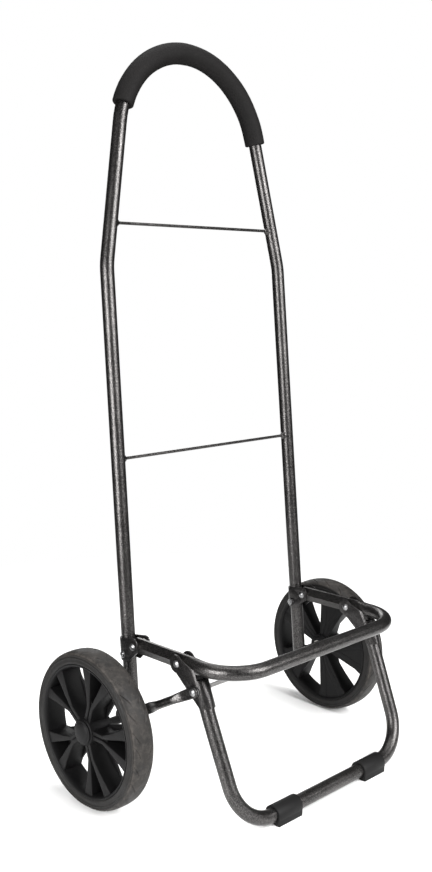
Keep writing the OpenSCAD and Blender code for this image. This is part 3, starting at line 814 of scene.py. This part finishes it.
def cutHole(piece, centre, x, radius):
    tool = bmesh.new()
    place = Matrix.Translation((x * mm, centre.y, centre.z))
    bmesh.ops.create_cone(tool, cap_ends=True, segments=40, radius1=radius * mm, radius2=radius * mm,
                          depth=16 * mm, matrix=place @ Matrix.Rotation(math.pi / 2, 4, "Y"))
    cutAway(piece, tool)


def cutSlot(piece, origin, ahead, beside, x):
    angle = strutShape["slotAngle"]
    along = ahead * cosine(angle) + beside * sine(angle)
    across = along.cross(Vector((1, 0, 0)))
    tool = bmesh.new()
    bmesh.ops.create_circle(tool, segments=40, radius=strutShape["slot"] * mm, cap_ends=True,
                            matrix=Matrix.Rotation(math.pi / 2, 4, "Y"))
    for vert in tool.verts:  # the half that lies along the slot moves to its far end
        if vert.co.dot(along) > 1e-7:
            vert.co += along * strutShape["slotLength"] * mm
    bmesh.ops.translate(tool, vec=Vector((x * mm - 8 * mm, origin.y, origin.z)), verts=tool.verts)
    made = bmesh.ops.extrude_face_region(tool, geom=list(tool.faces))["geom"]
    bmesh.ops.translate(tool, vec=Vector((16 * mm, 0, 0)),
                        verts=[part for part in made if isinstance(part, bmesh.types.BMVert)])
    cutAway(piece, tool)


makeStruts()
print("struts made")


# brackets and feet: the CAD shape with its edges eased

easedParts = {
    # new name: (CAD node, slot, body, edge in mm)
    "leftHingeBracket": ("left_hinge_bracket", "bracket_coat", "frame", 0.45),
    "rightHingeBracket": ("right_hinge_bracket", "bracket_coat", "frame", 0.45),
    "leftLegBracket": ("left_leg_bracket", "bracket_coat", "leg", 0.45),
    "rightLegBracket": ("right_leg_bracket", "bracket_coat", "leg", 0.45),
    "leftFoot": ("left_foot", "black_plastic", "leg", 0.8),
    "rightFoot": ("right_foot", "black_plastic", "leg", 0.8),
}


def makeEasedParts():
    for name, (node, slotName, body, edge) in easedParts.items():
        bm = bmesh.new()
        bm.from_mesh(nodes[node].data)
        bmesh.ops.remove_doubles(bm, verts=bm.verts, dist=0.004 * mm)
        bmesh.ops.dissolve_limit(bm, angle_limit=math.radians(0.6), verts=bm.verts, edges=bm.edges)
        steep = math.radians(38)
        corners = [part for part in bm.edges if part.is_manifold and part.calc_face_angle(0) > steep]
        bmesh.ops.bevel(bm, geom=corners, offset=edge * mm, offset_type="OFFSET", segments=2, profile=0.5,
                        affect="EDGES", clamp_overlap=True, material=-1)
        placePiece(name, bm, slotName, body, [node], sharp=32, recalculate=False)


makeEasedParts()
print("brackets and feet made")


# wheels

wheelPlace = {"x": 225.9}

tyreShape = {
    # (across the tread, radius)
    "profile": [(-15.2, 84.6), (-16.0, 85.4), (-16.35, 86.6), (-16.3, 88.2), (-16.0, 89.0), (-16.05, 91.2),
                (-16.5, 91.7), (-16.5, 92.5), (-16.0, 93.0), (-15.8, 94.4), (-16.25, 94.9), (-16.2, 95.7),
                (-15.5, 96.1), (-14.6, 97.0), (-13.0, 98.2),
                (-10.8, 99.1), (-8.2, 99.6), (-5.4, 99.85), (-2.6, 99.97), (0.0, 100.0)],
    "steps": 180,
    "chevron": 13.0,  # degrees the tread lines run ahead, from the middle to the shoulder
    "every": 7,
    "grooveWidth": 0.75,
    "grooveDepth": 0.7,
}


def wheelMatrix(side):
    # drawn about the X axis at the origin, the outer side towards +X
    turn = Matrix.Identity(4) if side > 0 else Matrix.Rotation(math.pi, 4, "Z")
    return Matrix.Translation(atPoint(side * wheelPlace["x"], 0, trolley["wheelRadius"])) @ turn


def spinProfile(bm, points, steps, closed=False):
    verts = [bm.verts.new((across * mm, 0, radius * mm)) for across, radius in points]
    edges = [bm.edges.new(pair) for pair in zip(verts, verts[1:])]
    if closed:
        edges.append(bm.edges.new((verts[-1], verts[0])))
    bmesh.ops.spin(bm, geom=verts + edges, cent=(0, 0, 0), axis=(1, 0, 0), angle=math.tau, steps=steps,
                   use_merge=True)


def makeTyre(side, body, node):
    bm = bmesh.new()
    half = tyreShape["profile"]
    points = half + [(-across, radius) for across, radius in reversed(half[:-1])]
    spinProfile(bm, points, tyreShape["steps"], closed=True)
    bmesh.ops.remove_doubles(bm, verts=bm.verts, dist=2e-6)
    bmesh.ops.recalc_face_normals(bm, faces=bm.faces)
    step = math.tau / tyreShape["steps"]
    grooves = []
    for face in bm.faces:
        middle = face.calc_center_median()
        across = abs(middle.x) / mm
        column = round((math.atan2(middle.z, middle.y) % math.tau) / step - 0.5)
        if 4.5 < across < 14.2 and middle.yz.length / mm > 97.2 and column % tyreShape["every"] == 0:
            grooves.append(face)
    for vert in bm.verts:  # the lines across the tread are swept back into a V
        if vert.co.yz.length / mm > 97:
            angle = math.radians(tyreShape["chevron"]) * abs(vert.co.x) / mm / 13
            vert.co = Matrix.Rotation(angle, 3, "X") @ vert.co
    bmesh.ops.inset_region(bm, faces=grooves, thickness=tyreShape["grooveWidth"] * mm,
                           depth=-tyreShape["grooveDepth"] * mm, use_even_offset=True, use_boundary=True)
    bmesh.ops.transform(bm, matrix=wheelMatrix(side), verts=bm.verts)
    placePiece(node + "Tread", bm, "tyre_rubber", body, [node], sharp=40)


rimShape = {
    "ring": [(-15.0, 84.5), (-15.9, 84.2), (-16.1, 83.2), (-15.6, 82.2), (-14.6, 81.3), (-12.0, 80.3),
             (-6.0, 79.9), (6.0, 79.9), (12.0, 80.3), (14.6, 81.3), (15.6, 82.2), (16.1, 83.2),
             (15.9, 84.2), (15.0, 84.5)],
    "hub": [(-19.0, 6.05), (-20.0, 7.0), (-20.0, 12.6), (-19.2, 13.4), (-17.6, 13.6), (-17.2, 14.2),
            (-17.2, 16.0), (-16.4, 17.0), (14.6, 17.0), (15.9, 16.4), (16.5, 15.6), (16.5, 10.0),
            (16.0, 9.5), (10.5, 9.5), (10.5, 6.05)],
    "count": 5,
    "fork": 37.0,
    "forkApart": 3.4,
    "spread": 14.2,
    "tip": 81.4,
    "stemHalf": 5.6,
    "groove": 0.7,
    "width": 15.2,
    "depth": 14.0,
    "edge": 0.9,
    "stemWeb": {"size": (22.0, 5.0, 27.0), "middle": (0, 0, 28.0)},
    "backWeb": {"size": (3.0, 13.0, 66.6), "middle": (-12.0, 0, 47.3), "widens": 51 / 13},
}


def spokeArm(bm, sign):
    # one arm of a double spoke, drawn along +Z with its width along Y
    inner, outer = rimShape["groove"], rimShape["stemHalf"]
    deep = rimShape["depth"]
    made = bmesh.ops.create_grid(bm, x_segments=1, y_segments=1, size=0.5)
    verts = made["verts"]
    bmesh.ops.scale(bm, vec=(2 * deep * mm, (outer - inner) * mm, 1), verts=verts)
    bmesh.ops.translate(bm, vec=(0, sign * (outer + inner) / 2 * mm, 14 * mm), verts=verts)
    face = verts[0].link_faces[0]
    reach = rimShape["tip"]
    tipY, tipZ = reach * sine(rimShape["spread"]), reach * cosine(rimShape["spread"])
    fork, apart = rimShape["fork"], rimShape["forkApart"]
    slope = math.degrees(math.atan2(tipY - apart, tipZ - fork))
    stages = [
        # (middle of the width, height, width, turn)
        (3.3, fork - 2, outer - inner, slope * 0.35),
        (apart + (tipY - apart) * 0.3, fork + (tipZ - fork) * 0.32, 7.6, slope * 0.95),
        (apart + (tipY - apart) * 0.65, fork + (tipZ - fork) * 0.66, 10.8, slope),
        (tipY, tipZ, rimShape["width"], slope),
    ]
    for middle, height, width, turn in stages:
        face = bmesh.ops.extrude_discrete_faces(bm, faces=[face])["faces"][0]
        centre = face.calc_center_median().y
        targets = {}
        for vert in face.verts:
            wide = math.copysign(width / 2, vert.co.y - centre)
            across = sign * middle + wide * cosine(turn)
            upwards = height - wide * sine(turn) * sign
            targets[vert] = Vector((math.copysign(deep, vert.co.x), across, upwards)) * mm
        for vert, target in targets.items():
            vert.co = target


def addBlock(bm, block):
    verts = bmesh.ops.create_cube(bm, size=1)["verts"]
    bmesh.ops.scale(bm, vec=Vector(block["size"]) * mm, verts=verts)
    bmesh.ops.translate(bm, vec=Vector(block["middle"]) * mm, verts=verts)
    return verts


def makeSpokes(bm):
    for sign in (1, -1):
        spokeArm(bm, sign)
    bmesh.ops.recalc_face_normals(bm, faces=bm.faces)
    steep = math.radians(50)
    corners = [edge for edge in bm.edges if len(edge.link_faces) == 2 and edge.calc_face_angle(0) > steep]
    bmesh.ops.bevel(bm, geom=corners, offset=rimShape["edge"] * mm, offset_type="OFFSET", segments=3,
                    profile=0.5, affect="EDGES", clamp_overlap=True, material=-1)
    addBlock(bm, rimShape["stemWeb"])
    back = addBlock(bm, rimShape["backWeb"])  # the flat web behind, widening to the rim
    rimEnd = [vert for vert in back if vert.co.z > rimShape["backWeb"]["middle"][2] * mm]
    bmesh.ops.scale(bm, vec=(1, rimShape["backWeb"]["widens"], 1), verts=rimEnd)


def makeRim(side, body, node):
    bm = bmesh.new()
    spinProfile(bm, rimShape["ring"], 144, closed=True)
    spinProfile(bm, rimShape["hub"], 72, closed=True)
    bmesh.ops.remove_doubles(bm, verts=bm.verts, dist=2e-6)
    bmesh.ops.recalc_face_normals(bm, faces=bm.faces)
    spoke = bmesh.new()
    makeSpokes(spoke)
    source = bpy.data.meshes.new("spokeSource")
    for order in range(rimShape["count"]):
        single = spoke.copy()
        # the first stem points straight forward, whichever side the wheel is on
        angle = math.copysign(math.pi / 2, side) + order * math.tau / rimShape["count"]
        bmesh.ops.rotate(single, cent=(0, 0, 0), matrix=Matrix.Rotation(angle, 3, "X"), verts=single.verts)
        single.to_mesh(source)
        single.free()
        bm.from_mesh(source)
    spoke.free()
    bpy.data.meshes.remove(source)
    bmesh.ops.transform(bm, matrix=wheelMatrix(side), verts=bm.verts)
    placePiece(node + "Spokes", bm, "rim_plastic", body, [node], sharp=38, recalculate=False)


capShape = [(16.55, 15.2), (17.2, 15.5), (18.2, 15.5), (18.9, 15.15), (19.3, 14.4), (19.35, 13.4),
            (19.9, 12.9), (20.7, 11.0), (21.5, 8.4), (22.0, 5.4), (22.25, 2.6), (22.3, 0.0)]


def makeHubCap(side, body, node):
    bm = bmesh.new()
    spinProfile(bm, [(16.55, 8.0)] + capShape, 72)
    bmesh.ops.transform(bm, matrix=wheelMatrix(side), verts=bm.verts)
    placePiece(node + "Dome", bm, "rim_plastic", body, [node], sharp=42)


for side, word in ((-1, "left"), (1, "right")):
    makeTyre(side, word + "_wheel", word + "_tyre")
    makeRim(side, word + "_wheel", word + "_rim")
    makeHubCap(side, word + "_wheel", word + "_hub_cap")
print("wheels made")


# the rest keeps its CAD shape and gets a real finish

keptParts = {
    "hinge_bracket_bolts": "zinc",
    "hinge_bracket_nuts": "zinc",
    "platform_pivot_rivets": "zinc",
    "platform_pivot_washers": "nylon",
    "upright_plugs": "black_plastic",
    "axle": "axle_steel",
    "axle_washers": "zinc",
    "axle_spacers": "black_plastic",
    "axle_push_nuts": "zinc",
    "leg_pivot_rivets": "zinc",
    "leg_pivot_washers": "nylon",
    "strut_rivets": "zinc",
    "strut_washers": "zinc",
    "leg_plugs": "black_plastic",
    "foot_screws": "zinc",
    "left_hub_bushes": "nylon",
    "right_hub_bushes": "nylon",
}

for name, slotName in keptParts.items():
    for place in nodes[name].material_slots:
        place.material = finishes[slotName]
print("carried over:", len(keptParts))
